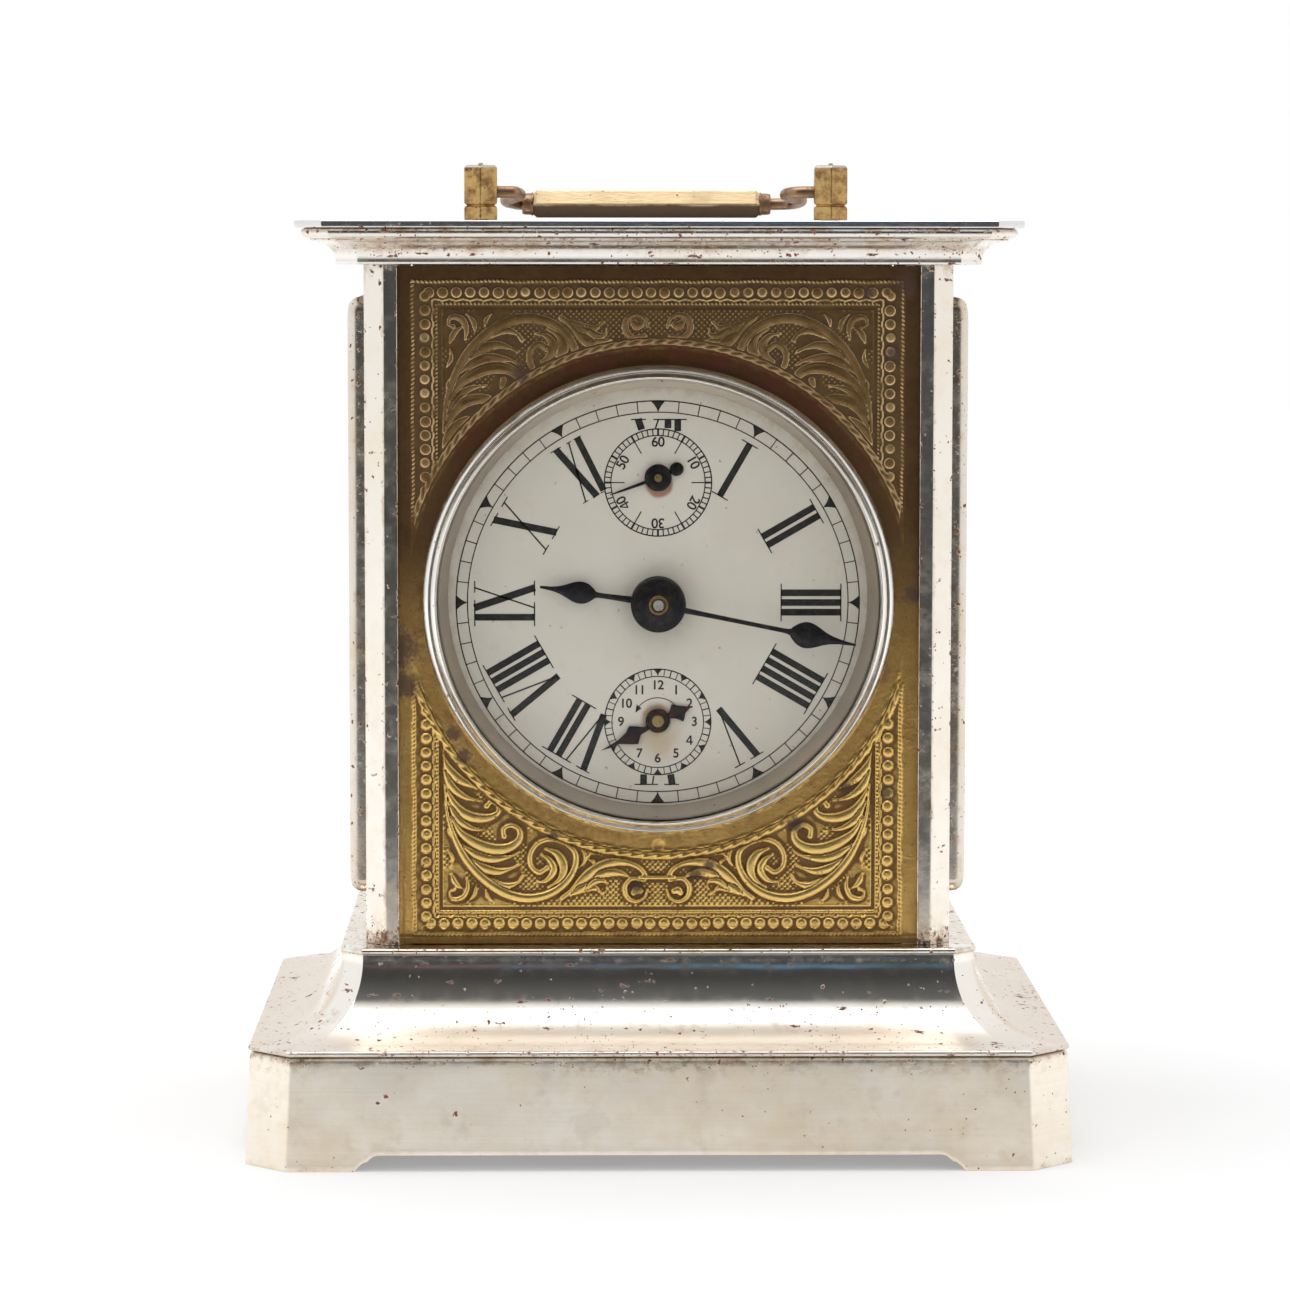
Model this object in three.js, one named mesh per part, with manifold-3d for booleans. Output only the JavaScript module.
// Carriage alarm clock: nickel-plated sheet-metal case with a pressed brass front,
// folding brass handle, silvered dial with seconds and alarm subdials, a going
// train, a separate alarm train and a bell in the base.
// Millimetres, +Z up, the front faces -Y, origin at the bottom centre of the base.
import * as THREE from "three";
import { mergeVertices } from "three/addons/utils/BufferGeometryUtils.js";
import Module from "manifold-3d";

const wasm = await Module();
wasm.setup();

// ---------------------------------------------------------------- driving sizes
const DEPTH_LESS = 16; // every level of the case is this much less in half depth than half width
const BASE_HALF = 72; // half width at the floor
const BASE_CHAMFER = 7.4;
const PLATFORM_HALF = 54.7;
const PLATFORM_Z = 36.2;
const BODY_HALF = 51.5;
const BODY_TOP = 155.5;
const INSERT_TOP = 155.3; // top of the side sheets and the front mask
const CAP_TOP = 161.9;
const TOP_PLATE = 1.25;
const TOP_PLATE_Z = CAP_TOP + 0.05;

// positions on the face and in the movement, as [x, z]
const CENTRE = [0, 96.0];
const SECONDS = [0, 118.1];
const ALARM = [0, 75.1];
const BEZEL = [0, CENTRE[1] + 1];
const THIRD = [11.214, CENTRE[1] + 11.691];
const ESCAPE = [-12.0, SECONDS[1] + 6.185];
const PALLET = [-20.2, 126.6];
const BALANCE = [-30.0, 133.0];
const TIME_BARREL = [-22.2, CENTRE[1] - 2.99];
const ALARM_BARREL = [24.0, 84.0];
const ALARM_ESCAPE = [27.8, 65.18];
const HAMMER = [17.0, 58.0];
const MINUTE_STUD = [-12.6, CENTRE[1] - 3.447];

// degrees clockwise from twelve
const MINUTE_ANGLE = 101.5;
const HOUR_ANGLE = 278;
const SECOND_ANGLE = 252.4;
const SECOND_TAIL_ANGLE = 64;

const SIDES = [[-1, "left"], [1, "right"]];

// ---------------------------------------------------------------- outlines
const circle = ([x, y], radius, n, phase = 0) =>
  Array.from({ length: n }, (_, i) => {
    const angle = phase + (2 * Math.PI * i) / n;
    return [x + radius * Math.cos(angle), y + radius * Math.sin(angle)];
  });
const rect = (x0, y0, x1, y1) => [[x0, y0], [x1, y0], [x1, y1], [x0, y1]];
const moved = (points, [dx, dy]) => points.map(([x, y]) => [x + dx, y + dy]);
// the right half of an outline, completed with its mirror image
const mirrored = (right) => [...right, ...[...right].reverse().map(([x, y]) => [-x, y])];
// a lathe profile that returns to its first point, for a piece with a hole
const closed = (profile) => [...profile, profile[0]];
// a lathe profile with flat ends out from the axis
const capped = (steps) => [[0, steps[0][1]], ...steps, [0, steps.at(-1)[1]]];

// plan of the case at one level: a rectangle with cut corners
function casePlan(halfX, chamfer) {
  const halfY = halfX - DEPTH_LESS;
  const innerX = halfX - chamfer;
  const innerY = halfY - chamfer;
  return [
    [innerX, -halfY], [halfX, -innerY], [halfX, innerY], [innerX, halfY],
    [-innerX, halfY], [-halfX, innerY], [-halfX, -innerY], [-innerX, -halfY],
  ];
}
const caseRing = ([halfX, chamfer, z]) => casePlan(halfX, chamfer).map(([x, y]) => [x, y, z]);

// ---------------------------------------------------------------- solids
// welds a geometry and turns its faces outward
function solid(geometry) {
  geometry.deleteAttribute("normal");
  geometry.deleteAttribute("uv");
  const welded = mergeVertices(geometry, 1e-4);
  const position = welded.attributes.position;
  const source = welded.index.array;
  const corner = (i) => new THREE.Vector3().fromBufferAttribute(position, i);
  const triangles = [];
  let volume = 0;
  for (let i = 0; i < source.length; i += 3) {
    const [a, b, c] = source.slice(i, i + 3);
    if (a === b || b === c || a === c) continue;
    triangles.push([a, b, c]);
    volume += corner(a).dot(corner(b).cross(corner(c)));
  }
  const outward = volume < 0 ? triangles.map(([a, b, c]) => [a, c, b]) : triangles;
  return new wasm.Manifold(
    new wasm.Mesh({
      numProp: 3,
      vertProperties: new Float32Array(position.array),
      triVerts: new Uint32Array(outward.flat()),
    }),
  );
}

function flatShaded(manifold) {
  const { vertProperties, triVerts } = manifold.getMesh();
  const flat = new THREE.BufferGeometry()
    .setAttribute("position", new THREE.Float32BufferAttribute(vertProperties, 3))
    .setIndex(new THREE.Uint32BufferAttribute(triVerts, 1))
    .toNonIndexed();
  flat.computeVertexNormals();
  return flat;
}

const join = (...parts) => parts.reduce((a, b) => a.add(b));
const cut = (body, ...tools) => tools.reduce((a, b) => a.subtract(b), body);

function shapeOf(points, holes = []) {
  const vectors = (outline) => outline.map(([x, y]) => new THREE.Vector2(x, y));
  const shape = new THREE.Shape(vectors(points));
  shape.holes = holes.map((hole) => new THREE.Path(vectors(hole)));
  return shape;
}
const slab = (points, depth, holes) =>
  new THREE.ExtrudeGeometry(shapeOf(points, holes), { depth, bevelEnabled: false });

// an outline in x, z made thick along Y
const plateY = (points, [y0, y1], holes) =>
  solid(slab(points, y1 - y0, holes).rotateX(Math.PI / 2).translate(0, y1, 0));
// an outline in x, y made thick along Z
const plateZ = (points, [z0, z1], holes) =>
  solid(slab(points, z1 - z0, holes).translate(0, 0, z0));
// an outline in y, z made thick along X, with its edges rounded by `bevel`
function plateX(points, [x0, x1], bevel = 0) {
  const geometry = new THREE.ExtrudeGeometry(shapeOf(points), {
    depth: x1 - x0 - 2 * bevel,
    bevelEnabled: bevel > 0,
    bevelThickness: bevel,
    bevelSize: bevel,
    bevelOffset: -bevel,
    bevelSegments: 3,
  });
  geometry.applyMatrix4(
    new THREE.Matrix4().makeBasis(
      new THREE.Vector3(0, 1, 0),
      new THREE.Vector3(0, 0, 1),
      new THREE.Vector3(1, 0, 0),
    ),
  );
  return solid(geometry.translate(x0 + bevel, 0, 0));
}
function box([x0, x1], [y0, y1], [z0, z1]) {
  const geometry = new THREE.BoxGeometry(x1 - x0, y1 - y0, z1 - z0);
  return solid(geometry.translate((x0 + x1) / 2, (y0 + y1) / 2, (z0 + z1) / 2));
}

// turned pieces: a profile of [radius, place along the axis], n segments round
const lathe = (profile, n) =>
  new THREE.LatheGeometry(profile.map(([r, along]) => new THREE.Vector2(r, along)), n);
const turnX = (profile, [y, z], n) =>
  solid(lathe(profile, n).rotateZ(-Math.PI / 2).translate(0, y, z));
const turnY = (profile, [x, z], n) => solid(lathe(profile, n).translate(x, 0, z));
const turnZ = (profile, [x, y], n) =>
  solid(lathe(profile, n).rotateX(Math.PI / 2).translate(x, y, 0));
const spindle = (centre, steps, n = 8) => turnY(capped(steps), centre, n);
const rodY = (centre, radius, [y0, y1], n = 8) =>
  spindle(centre, [[radius, y0], [radius, y1]], n);
const rodZ = (centre, radius, [z0, z1], n) =>
  turnZ(capped([[radius, z0], [radius, z1]]), centre, n);

// rings of [x, y, z] points joined into one skin; a looped loft also joins last to first
function loft(rings, looped = false) {
  const n = rings[0].length;
  const count = rings.length;
  const faces = [];
  for (let k = 0; k < (looped ? count : count - 1); k++)
    for (let i = 0; i < n; i++) {
      const here = k * n;
      const next = ((k + 1) % count) * n;
      const j = (i + 1) % n;
      faces.push(here + i, here + j, next + j, here + i, next + j, next + i);
    }
  if (!looped) {
    const last = (count - 1) * n;
    for (let i = 1; i < n - 1; i++) {
      faces.push(0, i + 1, i);
      faces.push(last, last + i, last + i + 1);
    }
  }
  const geometry = new THREE.BufferGeometry();
  geometry.setAttribute("position", new THREE.Float32BufferAttribute(rings.flat(2), 3));
  geometry.setIndex(faces);
  return solid(geometry);
}

// ---------------------------------------------------------------- materials
const FINISHES = {
  nickel: { color: 0xb9b3a6, roughness: 0.32, metalness: 1.0 },
  brass: { color: 0xb08a42, roughness: 0.35, metalness: 1.0 },
  darkbrass: { color: 0x6f5a2e, roughness: 0.45, metalness: 1.0 },
  steel: { color: 0x8b8b8a, roughness: 0.35, metalness: 1.0 },
  blued: { color: 0x1d1f26, roughness: 0.4, metalness: 0.8 },
  dial: { color: 0xc9c2b2, roughness: 0.5, metalness: 0.6 },
  glass: { color: 0xeef2f2, roughness: 0.05, metalness: 0.0, transparent: true, opacity: 0.3 },
};
const clock = new THREE.Group();
function add(name, manifold, finish, group = clock) {
  const material = new THREE.MeshStandardMaterial(FINISHES[finish]);
  const mesh = new THREE.Mesh(flatShaded(manifold), material);
  mesh.name = name;
  group.add(mesh);
}

// ---------------------------------------------------------------- the base
const BELL = [-14, 0]; // x, y
const HOLLOW_STEPS = 6;
const HOLLOW_RUN = 11.9; // how far the hollow moulding draws in
const HOLLOW_RISE = 13.7;
const NOTCH_HALF = 52.7; // half length of the gap between the corner feet, front and rear
const APRON_LIFT = 2.85;

// hollow moulding from the plinth's shoulder up to the platform: [half width, chamfer, z]
function hollowStation(i) {
  const angle = (i / HOLLOW_STEPS) * 0.5 * Math.PI;
  return [
    67.4 - HOLLOW_RUN * Math.sin(angle),
    7.0 - 3.2 * Math.sin(angle),
    21.3 + HOLLOW_RISE * (1 - Math.cos(angle)),
  ];
}

function baseShell() {
  const stations = Array.from({ length: HOLLOW_STEPS + 1 }, (_, i) => hollowStation(i));
  // half width, chamfer, z, from the floor up
  const outer = [
    [BASE_HALF, BASE_CHAMFER, 0], [71.9, 7.4, 1.0], [71.1, 7.3, 18.6],
    [70.4, 7.2, 20.0], [68.6, 7.1, 20.5],
    ...stations,
    [PLATFORM_HALF, 3.8, PLATFORM_Z],
  ];
  const lastInner = HOLLOW_STEPS - 1;
  const inner = [
    [70.7, 6.9, -1], [70.1, 6.9, 17.6], [69.2, 6.8, 19.0],
    ...stations.slice(0, HOLLOW_STEPS).map(([halfX, chamfer, z], i) =>
      [halfX - 1.15, chamfer - 0.4, z - 1.0 + (i === lastInner ? 0.2 : 0)]),
    [54.4, 3.4, 33.9], [53.6, 3.4, 35.1],
  ];
  const notch = (half) =>
    mirrored([[half, -1], [half, 0], [half - 1.7, 1.9], [half - 4, APRON_LIFT]]);
  return cut(
    loft(outer.map(caseRing)),
    loft(inner.map(caseRing)),
    plateY(notch(NOTCH_HALF), [-60, 60]),
    plateX(notch(NOTCH_HALF - DEPTH_LESS), [-80, 80]),
    box([11.5, 23.5], [-4.6, 1.2], [30, 40]), // slot for the hammer's arm
  );
}

// the floor of the base, with the bell's post riveted to it
function bottomPlate() {
  const floor = plateZ(casePlan(70.2, 6.7), [3.1, 4.1],
    [circle([-48, 0], 4, 10), circle([46, 0], 4, 10)]);
  const post = capped([
    [5.5, 3.5], [5.5, 5.2], [3, 6.4], [3, 23.3], [1.9, 23.3],
    [1.9, 25.0], [3.2, 25.0], [3.2, 27.4],
  ]);
  return join(floor, turnZ(post, BELL, 20));
}

const BELL_LIFT = 1.2;
const BELL_PROFILE = closed([
  [2.2, 23.4], [14, 22.9], [22, 20.6], [26.2, 16.0], [28, 9.0],
  [26.9, 9.0], [25.1, 15.4], [21.4, 19.4], [13.6, 21.7], [2.2, 22.2],
]);
add("base_shell", baseShell(), "nickel");
add("base_bottom_plate", bottomPlate(), "steel");
add("bell", turnZ(moved(BELL_PROFILE, [0, BELL_LIFT]), BELL, 24), "steel");

// ---------------------------------------------------------------- the case
const COLUMN_LEG = 45.5; // x where a corner column's front or rear leg ends
const COLUMN_CHAMFER = 3.5;
const COLUMN_SHEET = 1.0;

function column(sideX, sideY) {
  const halfX = BODY_HALF;
  const halfY = BODY_HALF - DEPTH_LESS;
  const legY = COLUMN_LEG - DEPTH_LESS;
  const chamfer = COLUMN_CHAMFER;
  // tan 22.5 degrees keeps the sheet's thickness round the chamfer
  const innerChamfer = chamfer + 0.4142 * COLUMN_SHEET;
  const outline = [
    [COLUMN_LEG, halfY], [halfX - chamfer, halfY], [halfX, halfY - chamfer], [halfX, legY],
    [halfX - COLUMN_SHEET, legY], [halfX - COLUMN_SHEET, halfY - innerChamfer],
    [halfX - innerChamfer, halfY - COLUMN_SHEET], [COLUMN_LEG, halfY - COLUMN_SHEET],
  ];
  return plateZ(outline.map(([x, y]) => [sideX * x, sideY * y]), [PLATFORM_Z + 0.05, BODY_TOP]);
}
for (const [sideX, nameX] of SIDES)
  for (const [sideY, nameY] of [[-1, "front"], [1, "rear"]])
    add(`column_${nameY}_${nameX}`, column(sideX, sideY), "nickel");

// cornice, a hollow moulding that flares out to the top edge: half width, chamfer, z,
// up the outside and down the inside
const CORNICE = [
  [55.9, 3.9, 155.6], [56.1, 3.95, 156.6], [56.5, 4.0, 157.7], [57.2, 4.15, 158.55],
  [58.4, 4.35, 159.2], [60.2, 4.6, 159.8], [61.35, 4.7, 160.35], [61.75, 4.75, 160.95],
  [61.7, 4.75, CAP_TOP],
  [60.0, 4.4, CAP_TOP], [58.6, 4.2, 161.2], [56.8, 3.95, 160.2], [55.3, 3.65, 157.8],
  [55.0, 3.6, 155.6],
];
const POST_X = 31.65; // handle posts, left and right of centre
const postHoles = (radius) => SIDES.map(([side]) => circle([side * POST_X, 0], radius, 12));

add("cornice", loft(CORNICE.map(caseRing), true), "nickel");
add("top_plate",
  plateZ(casePlan(62.9, 4.85), [TOP_PLATE_Z, TOP_PLATE_Z + TOP_PLATE], postHoles(1.9)),
  "nickel");

// side panels, built on the right
const PANEL_HALF_Y = 29.0;
const PANEL_Z = [44.6, 149.8];
const PANEL_OUT = 54.5;
const PANEL_RIM = 1.4;
const WINDOW_HALF_Y = 20.5;
const WINDOW_Z = [54, 140];
const WINDOW_LIP = 1.2;
const GLASS_LAP = 4;

const panelInset = (inset) =>
  rect(-PANEL_HALF_Y + inset, PANEL_Z[0] + inset, PANEL_HALF_Y - inset, PANEL_Z[1] - inset);
const windowGrown = (grow) =>
  rect(-WINDOW_HALF_Y - grow, WINDOW_Z[0] - grow, WINDOW_HALF_Y + grow, WINDOW_Z[1] + grow);

function sidePanel() {
  const sheet = plateX(rect(-31.2, 36.4, 31.2, INSERT_TOP), [49.4, 50.3]);
  const raised = cut(
    plateX(panelInset(0), [46, PANEL_OUT], 1.8),
    box([40, 49.8], [-60, 60], [0, 170]),
  );
  const hollow = plateX(panelInset(PANEL_RIM), [49.0, 53.2]);
  const lip = plateX(windowGrown(WINDOW_LIP), [49.4, 53.6]);
  return cut(join(cut(join(sheet, raised), hollow), lip), plateX(windowGrown(0), [45, 60]));
}
function addSide(side, name) {
  const placed = (piece) => (side < 0 ? piece.mirror([1, 0, 0]) : piece);
  add(`side_panel_${name}`, placed(sidePanel()), "nickel");
  add(`side_glass_${name}`, placed(plateX(windowGrown(GLASS_LAP), [48.0, 49.2])), "glass");
}
addSide(1, "right");
addSide(-1, "left");

// ---------------------------------------------------------------- front and dial
const MASK_Y = [-34.3, -33.5];
const MASK_HOLE = 38.9;
const BEZEL_R = 41.25;
const DIAL_R = 38.0;
const DIAL_Y = [-27.0, -26.2];

add("front_mask",
  plateY(rect(-47.2, 36.35, 47.2, INSERT_TOP), MASK_Y,
    [circle(BEZEL, MASK_HOLE, 64), circle([0, 53.5], 0.8, 10)]),
  "darkbrass");
add("bezel",
  turnY(closed([
    [39.9, -34.35], [BEZEL_R, -34.35], [BEZEL_R, -37.0], [40.6, -38.3], [40.15, -37.9],
    [39.4, -39.0], [38.7, -38.6], [38.7, -36.75], [39.9, -36.75],
  ]), BEZEL, 48),
  "nickel");

// the domed glass: its profile runs from the axis at the back, round the flange,
// to the axis at the front
function dialGlass() {
  const curveR = 162;
  const sag = 4.6;
  const stationAt = (base) => (r) =>
    [r, base - (Math.sqrt(curveR * curveR - r * r) - (curveR - sag))];
  const back = [0, 13, 26, 38.3].map(stationAt(-35.5));
  const front = [38.3, 26, 13, 0].map(stationAt(-36.7));
  return turnY([...back, [39.6, -35.4], [39.6, -36.6], ...front], BEZEL, 32);
}
add("dial_glass", dialGlass(), "glass");
add("sight_ring",
  turnY(closed([[37.0, -27.1], [37.45, -27.1], [38.7, -35.1], [38.3, -35.1]]), BEZEL, 40),
  "nickel");

function dial() {
  const disc = plateY(circle(BEZEL, DIAL_R, 64), DIAL_Y,
    [circle(CENTRE, 3.6, 20), circle(SECONDS, 1.2, 12), circle(ALARM, 1.5, 12)]);
  const feet = rect(-30, 80, 30, 112).map((place) => rodY(place, 1.0, [-26.6, -19.1], 10));
  return join(disc, ...feet);
}
add("dial", dial(), "dial");

// ---------------------------------------------------------------- rear door
const HINGE = [46.4, 36.65]; // x, y of the hinge pins
const KNUCKLE_R = 1.1;
const KNUCKLES = { upper: [131, 137], lower: [55, 61] }; // z range of the door's knuckles
const DOOR_KNOB = [-40.8, 96]; // x, z
const door = new THREE.Group();
clock.add(door);

function rearDoor() {
  const sheet = box([-45.2, 45.2], [34.5, 35.5], [37.0, 155.0]);
  const fieldOut = box([-38, 38], [35.4, 36.1], [45, 147]);
  const fieldIn = box([-37, 37], [34.0, 35.3], [46, 146]);
  let body = cut(join(sheet, fieldOut), fieldIn);
  for (const knuckle of [KNUCKLES.lower, KNUCKLES.upper]) {
    const past = [knuckle[0] - 1, knuckle[1] + 1];
    body = join(body,
      box([39.2, 45.2], [35.3, 36.05], knuckle),
      box([39.2, HINGE[0]], [35.45, 36.05], knuckle),
      rodZ(HINGE, KNUCKLE_R, knuckle, 16));
    body = cut(body,
      rodZ(HINGE, 0.85, past, 16),
      box([45.3, 50], [30, 35.55], past));
  }
  return cut(body, rodY(DOOR_KNOB, 1.6, [33, 38], 12));
}

// the leaf fixed to the case, with a knuckle above and below the door's, and the pin
function hingeLeaf([z0, z1]) {
  const reach = 4;
  const gap = 0.3;
  const leafY = [35.56, 36.1];
  const below = [z0 - reach, z0 - gap];
  const above = [z1 + gap, z1 + reach];
  return join(
    rodZ(HINGE, KNUCKLE_R, below, 16),
    rodZ(HINGE, KNUCKLE_R, above, 16),
    rodZ(HINGE, 0.65, [z0 - 1, z1 + 1], 16),
    box([HINGE[0], 48.2], leafY, below),
    box([HINGE[0], 48.2], leafY, above),
    box([47.8, 50.2], leafY, [z0 - reach, z1 + reach]),
  );
}
const DOOR_KNOB_PROFILE = [
  [0, 33.0], [3.2, 33.0], [3.2, 34.4], [1.3, 34.4], [1.3, 35.7], [2.6, 35.7],
  [2.0, 37.2], [2.6, 38.4], [4.2, 39.6], [4.4, 41.2], [3.6, 42.4], [0, 42.8],
];
add("rear_door", rearDoor(), "nickel", door);
add("door_knob", turnY(DOOR_KNOB_PROFILE, DOOR_KNOB, 24), "brass", door);
for (const [name, knuckle] of Object.entries(KNUCKLES))
  add(`door_hinge_${name}`, hingeLeaf(knuckle), "nickel");

// ---------------------------------------------------------------- handle
const HANDLE_Z = 168.3; // pivot axis
const HANDLE_REACH = 20; // pivot to grip
const GRIP_X = -1.4;
const GRIP_Z = 166.2;
const GRIP_COLLAR = 23; // grip centre to the outer end of its collar
const HANDLE_TILT = Math.asin((HANDLE_Z - GRIP_Z) / HANDLE_REACH);
const GRIP_AXIS = [HANDLE_REACH * Math.cos(HANDLE_TILT), GRIP_Z]; // y, z
const POST_R = 5.9 / Math.sqrt(3); // corner radius of a hexagon 5.9 across flats
const GRIP_R = 5.0 / Math.sqrt(3); // and of one 5.0 across flats

function handlePost(side) {
  const centre = [side * POST_X, 0];
  // radius, z
  const stations = [
    [POST_R, CAP_TOP + TOP_PLATE + 0.1], [POST_R, 165.5], [POST_R - 0.35, 165.9],
    [POST_R, 166.3], [POST_R, 172.6], [POST_R - 0.45, 173.15],
  ];
  const body = loft(stations.map(([radius, z]) =>
    circle(centre, radius, 6, Math.PI / 6).map(([x, y]) => [x, y, z])));
  const pip = rodZ(centre, 0.45, [172.9, 173.6], 8);
  const spigot = rodZ(centre, 1.6, [157.5, 163.6], 12);
  const bore = turnX(capped([[1.45, side * 28], [1.45, side * 33.5]]), [0, HANDLE_Z], 16);
  return cut(join(body, pip, spigot), bore);
}

function handleGrip() {
  // x from the grip's middle, radius
  const stations = [[-21.1, 2.2], [-20.3, GRIP_R], [20.3, GRIP_R], [21.1, 2.2]];
  const hexagon = loft(stations.map(([x, radius]) =>
    circle(GRIP_AXIS, radius, 6).map(([y, z]) => [GRIP_X + x, y, z])));
  const neck = [
    [2.1, 20.6], [1.75, 21.6], [1.75, 22.0], [2.0, 22.2], [2.0, GRIP_COLLAR],
  ];
  const necks = [1, -1].map((side) => {
    const profile = capped(neck.map(([r, x]) => [r, side * x]));
    return turnX(moved(profile, [0, GRIP_X]), GRIP_AXIS, 20);
  });
  return join(hexagon, ...necks);
}

// an arm leaves its post inward, then curves out and back in to the grip's collar;
// the grip is off centre, so the two arms curve differently
function handleArm(side, innerX, outerX) {
  const end = side * GRIP_X + GRIP_COLLAR + 0.1;
  // distance out from the clock's middle, distance from the pivot axis
  const stations = [
    [33.2, 0], [30.0, 0], [28.0, 0], [25.6, 0.35], [innerX + 0.5, 2.0], [innerX, 4.2],
    [innerX + 0.6, 6.6], [(innerX + outerX) / 2, 9.0], [outerX - 0.5, 11.2],
    [outerX, 13.6], [outerX - 0.4, 16.4], [outerX - 1.7, 18.9], [end + 0.9, 19.9],
    [end, HANDLE_REACH],
  ];
  const points = stations.map(([x, reach]) => new THREE.Vector3(
    side * x,
    reach * Math.cos(HANDLE_TILT),
    HANDLE_Z - reach * Math.sin(HANDLE_TILT),
  ));
  return solid(new THREE.ExtrudeGeometry(shapeOf(circle([0, 0], 1.1, 6, Math.PI / 6)), {
    steps: 22,
    extrudePath: new THREE.CatmullRomCurve3(points, false, "centripetal"),
    bevelEnabled: false,
  }));
}

for (const [side, name] of SIDES) add(`handle_post_${name}`, handlePost(side), "brass");
// one steel strap under the top takes both spigots
add("handle_strap",
  plateZ(mirrored([[36, -5], [38, -3.5], [38, 3.5], [36, 5]]), [160.2, CAP_TOP], postHoles(1.8)),
  "steel");
add("handle_grip", handleGrip(), "brass");
add("handle_arm_left", handleArm(-1, 24.6, 27.3), "darkbrass");
add("handle_arm_right", handleArm(1, 23.7, 27.0), "darkbrass");

// ---------------------------------------------------------------- gear cutting
// addendum and dedendum in modules; tip and root widths in pitches; a form without
// a tip is pointed; a form with gapFirst has a gap on the line of centres, not a tooth
const WHEEL = { addendum: 0.8, dedendum: 1.3 };
const LEAF = { addendum: 0.45, dedendum: 1.35, tip: 0.16, root: 0.34, gapFirst: true };
const TRIP = { addendum: 0.3, dedendum: 1.3, tip: 0.08, root: 0.3, gapFirst: true };
const HOUR = { addendum: 0.6, dedendum: 1.3, tip: 0.08, root: 0.36 };

const polar = (radius, angle) => [radius * Math.cos(angle), radius * Math.sin(angle)];
const angleTo = (from, to) => Math.atan2(to[1] - from[1], to[0] - from[0]);

function toothedOutline(teeth, module, startAngle, { addendum, dedendum, tip, root }) {
  const pitch = (2 * Math.PI) / teeth;
  const pitchR = (module * teeth) / 2;
  const rootR = pitchR - dedendum * module;
  const tipR = pitchR + addendum * module;
  // place across the tooth in pitches, radius
  const corners = tip
    ? [[-root / 2, rootR], [-tip / 2, tipR], [tip / 2, tipR], [root / 2, rootR]]
    : [[-0.5, rootR], [0, tipR]];
  return Array.from({ length: teeth }, (_, i) => startAngle + i * pitch)
    .flatMap((middle) => corners.map(([across, r]) => polar(r, middle + across * pitch)));
}

// openings that leave spokes between hub and rim
function spokeOpenings(rootR, spokes) {
  const hubR = Math.max(3.2, rootR * 0.28);
  const rimR = rootR - 1.6;
  const sector = (2 * Math.PI) / spokes;
  // radius, fraction of the sector
  const corners = [[rimR, 0.1], [rimR, 0.5], [rimR, 0.9], [hubR, 0.72], [hubR, 0.28]];
  return Array.from({ length: spokes }, (_, i) =>
    corners.map(([r, fraction]) => polar(r, (i + fraction) * sector)));
}

// a gear whose line of centres runs toward the gear it meshes with
function gear(centre, toward, teeth, module, yRange, { form = WHEEL, bore = 0, spokes = 0 } = {}) {
  const start = angleTo(centre, toward) + (form.gapFirst ? Math.PI / teeth : 0);
  const rootR = (module * teeth) / 2 - form.dedendum * module;
  const holes = spokes ? spokeOpenings(rootR, spokes) : [];
  if (bore) holes.push(circle([0, 0], bore, 16));
  return plateY(
    moved(toothedOutline(teeth, module, start, form), centre),
    yRange,
    holes.map((hole) => moved(hole, centre)),
  );
}
const pinion = (centre, toward, teeth, module, yRange, bore) =>
  gear(centre, toward, teeth, module, yRange, { form: LEAF, bore });

// an escape wheel: each tooth is a run of [radius, angle from the tooth's start]
function escapeDisc(centre, teeth, tooth, yRange) {
  const outline = Array.from({ length: teeth }, (_, i) => (2 * Math.PI * i) / teeth)
    .flatMap((start) => tooth.map(([r, angle]) => polar(r, start + angle)));
  return plateY(moved(outline, centre), yRange);
}

function spiral(centre, { innerR, outerR, turns, width, perTurn }, yRange) {
  const steps = turns * perTurn;
  const edge = (offset) => Array.from({ length: steps + 1 }, (_, i) => {
    const r = innerR + ((outerR - innerR) * i) / steps;
    return polar(r + offset, (2 * Math.PI * i) / perTurn);
  });
  return plateY(moved([...edge(width / 2), ...edge(-width / 2).reverse()], centre), yRange);
}

// ---------------------------------------------------------------- movement frame
const PLATE_FRONT_Y = [-19.0, -17.8];
const PLATE_REAR_Y = [7.0, 8.2];
const PLATE_OUTLINE = mirrored([[34, 45], [34, 36.3], [44, 36.3], [44, 136], [38, 142]]);
const PILLARS = { upper: [32, 130], lower_left: [-38, 54], lower_right: [40, 50] };
const PILLAR_PROFILE = [
  [1.2, -20.2], [1.2, -17.75], [2.3, -17.75], [1.7, -13],
  [1.7, 2], [2.3, 6.95], [1.2, 6.95], [1.2, 9.4],
];
// centre, radius, of the holes that are the same in both plates
const SHARED_HOLES = [
  [THIRD, 0.8], [ESCAPE, 0.7], [PALLET, 0.7], [BALANCE, 0.7],
  [ALARM_ESCAPE, 0.9], [HAMMER, 1.2], [ALARM, 1.6],
  ...Object.values(PILLARS).map((place) => [place, 1.5]),
];
const movementPlate = (yRange, ownHoles) =>
  plateY(PLATE_OUTLINE, yRange,
    [...ownHoles, ...SHARED_HOLES].map(([centre, radius, n = 6]) => circle(centre, radius, n)));

const frontPlate = movementPlate(PLATE_FRONT_Y,
  [[CENTRE, 2.0, 12], [SECONDS, 1.0], [TIME_BARREL, 2.2], [ALARM_BARREL, 2.2]]);
const rearPlate = movementPlate(PLATE_REAR_Y,
  [[CENTRE, 1.6, 12], [SECONDS, 0.8], [TIME_BARREL, 2.7, 12], [ALARM_BARREL, 2.7, 12]]);
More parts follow.
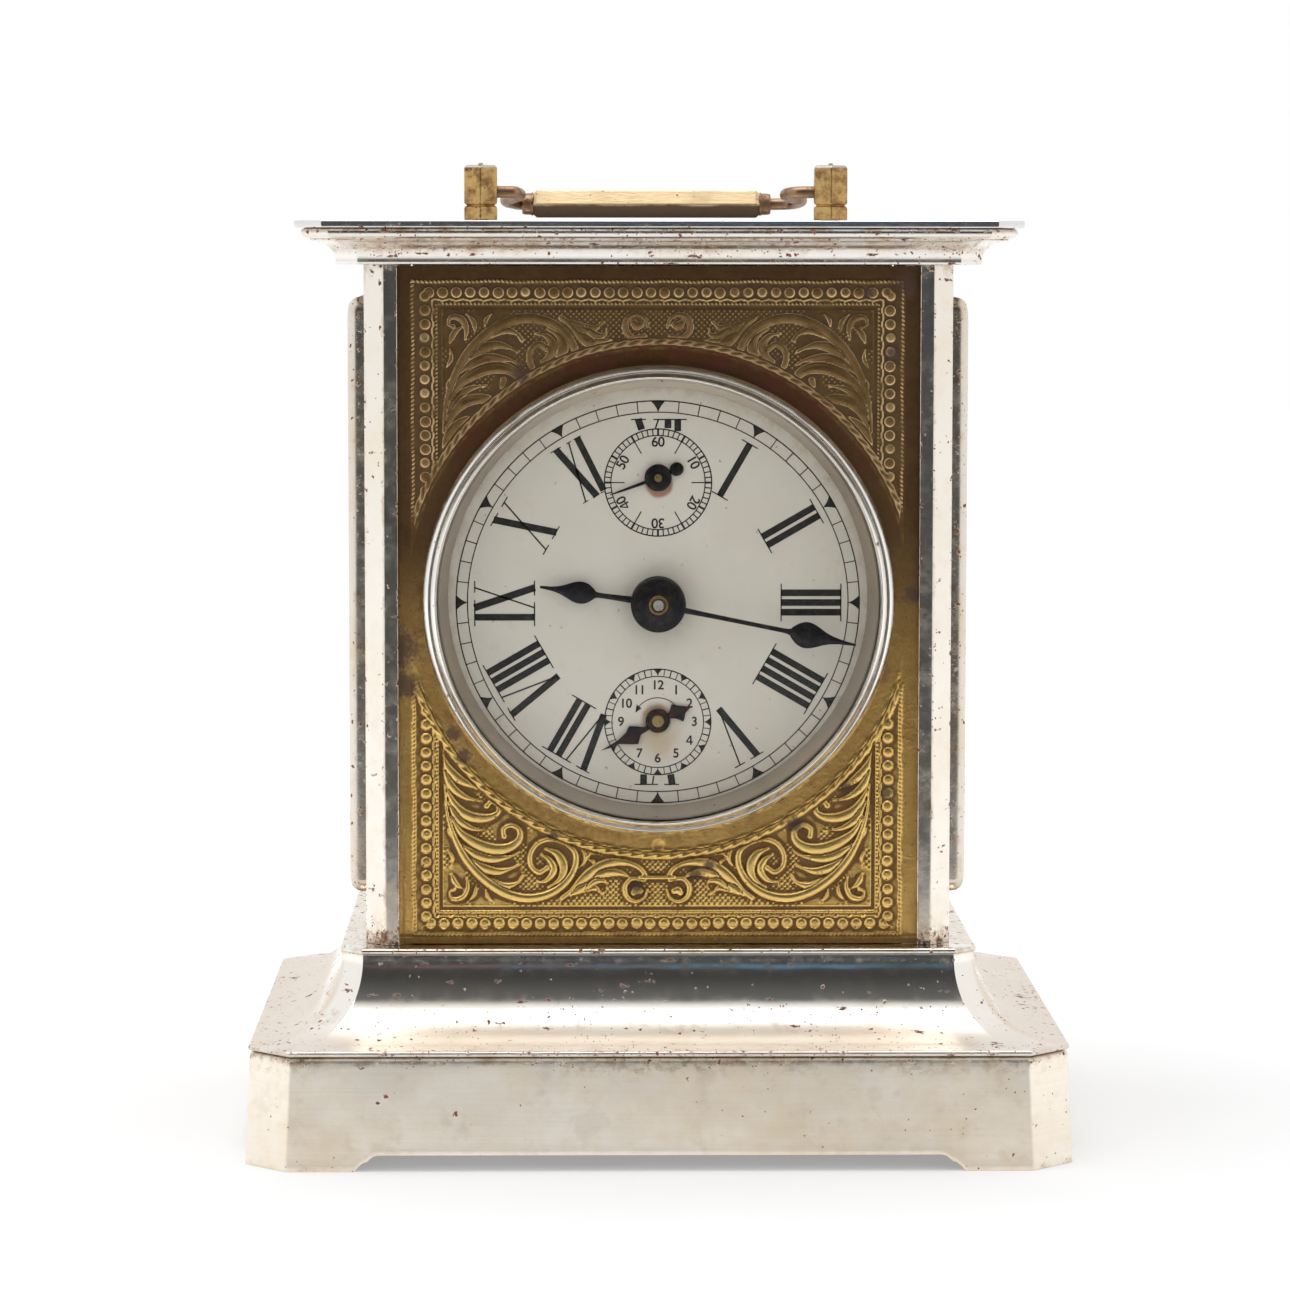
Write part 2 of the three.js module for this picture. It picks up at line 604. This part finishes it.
// the stud for the minute wheel is riveted into the front plate
add("movement_plate_front",
  join(frontPlate, rodY(MINUTE_STUD, 0.9, [-24.9, -18.4], 12)), "brass");
add("movement_plate_rear", rearPlate, "brass");
for (const [name, place] of Object.entries(PILLARS))
  add(`pillar_${name}`, spindle(place, PILLAR_PROFILE, 12), "brass");

// ---------------------------------------------------------------- going train
const TRAIN_M = 0.6; // gear modules
const ESCAPE_M = 0.5;
const TIME_M = 1.0667;
const ALARM_M = 1.0656;
const MOTION_M = 0.6531;
const ARBOR_Y = [-18.6, 7.9]; // pivot end to pivot end
const BODY_Y = [-17.4, 6.6]; // an arbor between its pivots

const train = new THREE.Group();
clock.add(train);
const addTrain = (name, manifold, finish) => add(name, manifold, finish, train);

const pivotedArbor = (centre, pivotR, bodyR) => spindle(centre, [
  [pivotR, ARBOR_Y[0]], [pivotR, BODY_Y[0]], [bodyR, BODY_Y[0]],
  [bodyR, BODY_Y[1]], [pivotR, BODY_Y[1]], [pivotR, ARBOR_Y[1]],
]);

// centre arbor with its pinion, the cannon pinion and the collet for the minute hand
addTrain("centre_arbor", join(
  rodY(CENTRE, 1.35, [-24.9, 12.0], 16),
  spindle(CENTRE, [[0.9, -34.0], [1.0, -33.8], [1.0, -24.0]], 16),
  pinion(CENTRE, TIME_BARREL, 6, TIME_M, [2.6, 6.0]),
  pinion(CENTRE, MINUTE_STUD, 10, MOTION_M, [-22.2, -19.6]),
  rodY(CENTRE, 1.35, [-25.0, -22.0], 16),
), "steel");
addTrain("centre_wheel",
  gear(CENTRE, THIRD, 48, TRAIN_M, [-16.4, -15.2], { bore: 1.65, spokes: 4 }), "brass");
addTrain("third_wheel", join(
  pivotedArbor(THIRD, 0.6, 1.1),
  pinion(THIRD, CENTRE, 6, TRAIN_M, [-17.0, -14.6]),
  gear(THIRD, SECONDS, 45, TRAIN_M, [-9.1, -8.1], { spokes: 4 }),
), "brass");
// the seconds arbor runs on through the dial to carry its hand
addTrain("seconds_wheel", join(
  spindle(SECONDS, [
    [0.7, -29.3], [0.7, -17.2], [1.1, -17.2],
    [1.1, BODY_Y[1]], [0.6, BODY_Y[1]], [0.6, ARBOR_Y[1]],
  ]),
  pinion(SECONDS, THIRD, 6, TRAIN_M, [-9.8, -7.4]),
  gear(SECONDS, ESCAPE, 48, ESCAPE_M, [-3.1, -2.1], { spokes: 4 }),
), "brass");
addTrain("escape_wheel", join(
  pivotedArbor(ESCAPE, 0.45, 0.8),
  pinion(ESCAPE, SECONDS, 6, ESCAPE_M, [-3.8, -1.4]),
  escapeDisc(ESCAPE, 15, [[4.3, 0], [5.5, 0.16], [5.5, 0.2], [4.3, 0.22]], [1.0, 1.9]),
), "brass");

// pallet lever: two pins beyond the escape wheel's tips, and an arm towards the balance
function palletLever() {
  const pinReach = 6.6; // from the escape wheel's centre
  const pinSpread = 0.75; // radians either side of the line of centres
  const armY = [2.3, 3.1];
  const lineOfCentres = angleTo(ESCAPE, PALLET);
  const pins = [pinSpread, -pinSpread].map((spread) =>
    moved([polar(pinReach, lineOfCentres + spread)], ESCAPE)[0]);
  const reach = Math.hypot(BALANCE[0] - PALLET[0], BALANCE[1] - PALLET[1]) - 2.4;
  const [armEnd] = moved([polar(reach, angleTo(PALLET, BALANCE))], PALLET);
  const armTo = (end, halfWidth) => {
    const [dx, dz] = polar(halfWidth, angleTo(PALLET, end) + Math.PI / 2);
    const outline = [
      ...moved([PALLET], [dx, dz]), ...moved([PALLET, end], [-dx, -dz]),
      ...moved([end], [dx, dz]),
    ];
    return plateY(outline, armY);
  };
  return join(
    rodY(PALLET, 0.5, ARBOR_Y),
    rodY(PALLET, 1.6, [2.2, 3.2]),
    ...pins.map((pin) => armTo(pin, 0.55)),
    armTo(armEnd, 0.5),
    ...pins.map((pin) => rodY(pin, 0.3, [0.7, 2.6])),
  );
}
addTrain("pallet_lever", palletLever(), "steel");

// balance: rim, two arms, staff, roller and impulse pin
addTrain("balance_wheel", join(
  plateY(circle(BALANCE, 8, 24), [-6.2, -4.6], [circle(BALANCE, 6.7, 24)]),
  plateY(moved(rect(-7.2, -0.7, 7.2, 0.7), BALANCE), [-5.9, -5.0]),
  rodY(BALANCE, 0.5, ARBOR_Y),
  rodY(BALANCE, 1.5, [-0.6, 0.4]),
  rodY([BALANCE[0] + 1.0, BALANCE[1]], 0.25, [0.0, 3.0]),
), "brass");
const HAIRSPRING = { innerR: 1.6, outerR: 5.0, turns: 3, width: 0.25, perTurn: 12 };
addTrain("hairspring", spiral(BALANCE, HAIRSPRING, [-9.2, -8.4]), "steel");

// ---------------------------------------------------------------- springs and keys
const BARRELS = [
  {
    name: "time", centre: TIME_BARREL, drives: CENTRE, teeth: 36, module: TIME_M,
    spring: { innerR: 3.6, outerR: 14.2, turns: 4, width: 0.9, perTurn: 14 }, springFront: -11.5,
  },
  {
    name: "alarm", centre: ALARM_BARREL, drives: ALARM_ESCAPE, teeth: 30, module: ALARM_M,
    spring: { innerR: 3.6, outerR: 11.4, turns: 3, width: 0.9, perTurn: 14 }, springFront: -9.5,
  },
];
const WINDING_PROFILE = [
  [1.8, -18.6], [1.8, -17.5], [2.4, -17.5], [2.4, 8.9], [1.7, 8.9], [1.7, 14.2],
];
// right half of a key's wings: x, y from the key's waist
const KEY_WING = [
  [1.6, -2.2], [2.4, 1.2], [6.0, 3.0], [9.2, 5.2], [9.8, 9.4], [7.0, 12.0],
  [3.4, 10.2], [1.2, 5.6],
];
const KEY_WAIST_Y = 17.4;
const KEY_HALF_THICK = 0.8;

// the wings lie flat, in the plane of the arbor
function key([x, z]) {
  const wings = plateZ(moved(mirrored(KEY_WING), [x, KEY_WAIST_Y]),
    [z - KEY_HALF_THICK, z + KEY_HALF_THICK]);
  const barrel = rodY([x, z], 3.0, [10.0, 19.0], 16);
  return cut(join(wings, barrel), rodY([x, z], 1.95, [9.0, 15.0], 16));
}

for (const { name, centre, drives, teeth, module, spring, springFront } of BARRELS) {
  addTrain(`${name}_great_wheel`,
    gear(centre, drives, teeth, module, [3.4, 5.0], { bore: 2.7, spokes: 5 }), "brass");
  addTrain(`${name}_mainspring`, spiral(centre, spring, [springFront, 2.4]), "steel");
}
for (const { name, centre } of BARRELS)
  addTrain(`${name}_winding_arbor`, spindle(centre, WINDING_PROFILE, 16), "steel");
for (const { name, centre } of BARRELS) addTrain(`${name}_key`, key(centre), "brass");

// ---------------------------------------------------------------- alarm train
addTrain("alarm_escape_wheel", join(
  pivotedArbor(ALARM_ESCAPE, 0.65, 1.1),
  pinion(ALARM_ESCAPE, ALARM_BARREL, 6, ALARM_M, [2.6, 6.0]),
  escapeDisc(ALARM_ESCAPE, 12, [[4.6, 0], [6.0, 0.14], [6.0, 0.24], [4.6, 0.3]], [-6.2, -5.0]),
), "brass");

// outlines in x, z from the hammer's arbor
const HAMMER_ARM = [[-1.0, 0], [1.0, 0], [2.4, -28], [2.8, -41], [1.0, -41], [0.4, -28]];
const HAMMER_FORK = [
  [-0.6, 0], [0.4, -1.0], [4.2, 0.2], [4.0, 1.6], [1.4, 2.4], [3.4, 7.0], [2.2, 7.6],
];
const HAMMER_HEAD = capped([[2.0, 16.6], [2.6, 17.2], [2.6, 22.8], [2.0, 23.4]]);
addTrain("hammer", join(
  rodY(HAMMER, 1.0, ARBOR_Y, 12),
  rodY(HAMMER, 1.8, [-6.6, -0.8], 16),
  plateY(moved(HAMMER_ARM, HAMMER), [-2.2, -1.2]),
  plateY(moved(HAMMER_FORK, HAMMER), [-6.2, -5.2]),
  turnX(HAMMER_HEAD, [-1.7, 15.0], 20),
), "steel");

// the setting arbor carries the alarm hand, the trip wheel turns loosely on it
addTrain("alarm_trip_wheel",
  gear(ALARM, CENTRE, 32, MOTION_M, [-25.4, -24.6], { form: TRIP, bore: 1.6 }), "brass");

const SETTING_KNOB_R = 4.4;
const settingKnob = (centre, neckR, endR) => spindle(centre, [
  [neckR, 9.4], [neckR, 11.6], [SETTING_KNOB_R, 12.2], [SETTING_KNOB_R, 16.6], [endR, 17.2],
], 24);
addTrain("hand_set_knob",
  cut(settingKnob(CENTRE, 2.64, 3.52), rodY(CENTRE, 1.6, [9.0, 12.3], 16)), "brass");
addTrain("alarm_setting_arbor", join(
  spindle(ALARM, [[1.0, -29.4], [1.0, -25.0], [1.35, -25.0], [1.35, 12.0]], 16),
  settingKnob(ALARM, 2.6, 3.5),
), "brass");

// ---------------------------------------------------------------- motion work
addTrain("minute_wheel", join(
  gear(MINUTE_STUD, CENTRE, 30, MOTION_M, [-21.6, -20.4], { bore: 1.15 }),
  pinion(MINUTE_STUD, CENTRE, 8, MOTION_M, [-25.6, -21.5], 1.15),
), "brass");
addTrain("hour_wheel", join(
  gear(CENTRE, MINUTE_STUD, 32, MOTION_M, [-25.4, -24.6], { form: HOUR, bore: 1.7 }),
  plateY(circle(CENTRE, 2.6, 20), [-30.3, -24.7], [circle(CENTRE, 1.7, 16)]),
), "brass");

// ---------------------------------------------------------------- hands
// outlines in x, z from the hand's own centre; all but the alarm hand's point to twelve
const MINUTE_OUTLINE = mirrored([
  [0.6, 4.0], [0.42, 14], [0.42, 23.4], [1.15, 24.0], [1.95, 25.0], [2.35, 26.2],
  [2.25, 27.4], [1.75, 28.7], [1.1, 30.0], [0.62, 31.6], [0.34, 33.5], [0.22, 35.5],
]);
const HOUR_OUTLINE = mirrored([
  [0.65, 4.0], [0.5, 11.0], [1.2, 11.5], [1.8, 12.3], [2.0, 13.2],
  [1.85, 14.2], [1.35, 15.4], [0.8, 16.8], [0.45, 18.6], [0.28, 21.0],
]);
const SECOND_OUTLINE = mirrored([[0.28, 1.6], [0.26, 6.6], [0.55, 7.0], [0.16, 9.0]]);
const SECOND_TAIL = mirrored([[0.45, 1.6], [0.4, 3.2]]);
const SECOND_BALL = [0, 3.9];
const ALARM_LEAF = [
  [-1.6, -0.7], [-2.5, -1.15], [-5.09, -0.94], [-5.6, -2.1], [-7.2, -3.6],
  [-8.5, -4.4], [-10.1, -5.3], [-8.4, -4.85], [-6.9, -4.15], [-5.95, -4.15],
  [-3.44, -4.15], [-2.97, -2.5], [-1.2, -1.4],
];
const ALARM_TAIL = [
  [1.6, 1.0], [2.05, 1.6], [2.43, 2.97], [3.3, 2.75], [5.95, 2.5],
  [4.95, 1.5], [4.54, -0.16], [3.3, 0.35], [1.6, 0.5],
];
const SMALL_HAND_Y = [-28.05, -27.7];

// turns an outline clockwise about its centre, then places it there
function turnedTo(points, degrees, centre) {
  const angle = (-degrees * Math.PI) / 180;
  const cos = Math.cos(angle);
  const sin = Math.sin(angle);
  return moved(points.map(([x, z]) => [x * cos - z * sin, x * sin + z * cos]), centre);
}
const collar = (profile, centre, n) => turnY(closed(profile), centre, n);

add("minute_hand", join(
  plateY(turnedTo(MINUTE_OUTLINE, MINUTE_ANGLE, CENTRE), [-33.1, -32.6]),
  collar([
    [1.15, -33.3], [1.9, -33.3], [1.9, -33.2], [4.3, -33.2],
    [4.85, -32.9], [4.85, -32.1], [4.3, -31.8], [1.15, -31.8],
  ], CENTRE, 32),
), "blued");
add("hour_hand", join(
  plateY(turnedTo(HOUR_OUTLINE, HOUR_ANGLE, CENTRE), [-29.5, -29.0]),
  collar([
    [2.75, -31.0], [4.4, -31.0], [4.85, -30.7], [4.85, -28.8], [4.4, -28.5], [2.75, -28.5],
  ], CENTRE, 32),
), "blued");
const [ballCentre] = turnedTo([SECOND_BALL], SECOND_TAIL_ANGLE, SECONDS);
add("seconds_hand", join(
  plateY(turnedTo(SECOND_OUTLINE, SECOND_ANGLE, SECONDS), SMALL_HAND_Y),
  plateY(turnedTo(SECOND_TAIL, SECOND_TAIL_ANGLE, SECONDS), SMALL_HAND_Y),
  plateY(circle(ballCentre, 1.2, 20), [-28.2, -27.6]),
  collar([
    [0.8, -28.6], [2.1, -28.6], [2.4, -28.3], [2.4, -27.5], [0.8, -27.5],
  ], SECONDS, 24),
), "blued");
add("alarm_hand", join(
  plateY(moved(ALARM_LEAF, ALARM), SMALL_HAND_Y),
  plateY(moved(ALARM_TAIL, ALARM), SMALL_HAND_Y),
  collar([
    [1.1, -28.4], [1.8, -28.4], [2.15, -28.1], [2.15, -27.5], [1.1, -27.5],
  ], ALARM, 24),
), "blued");

export default clock;
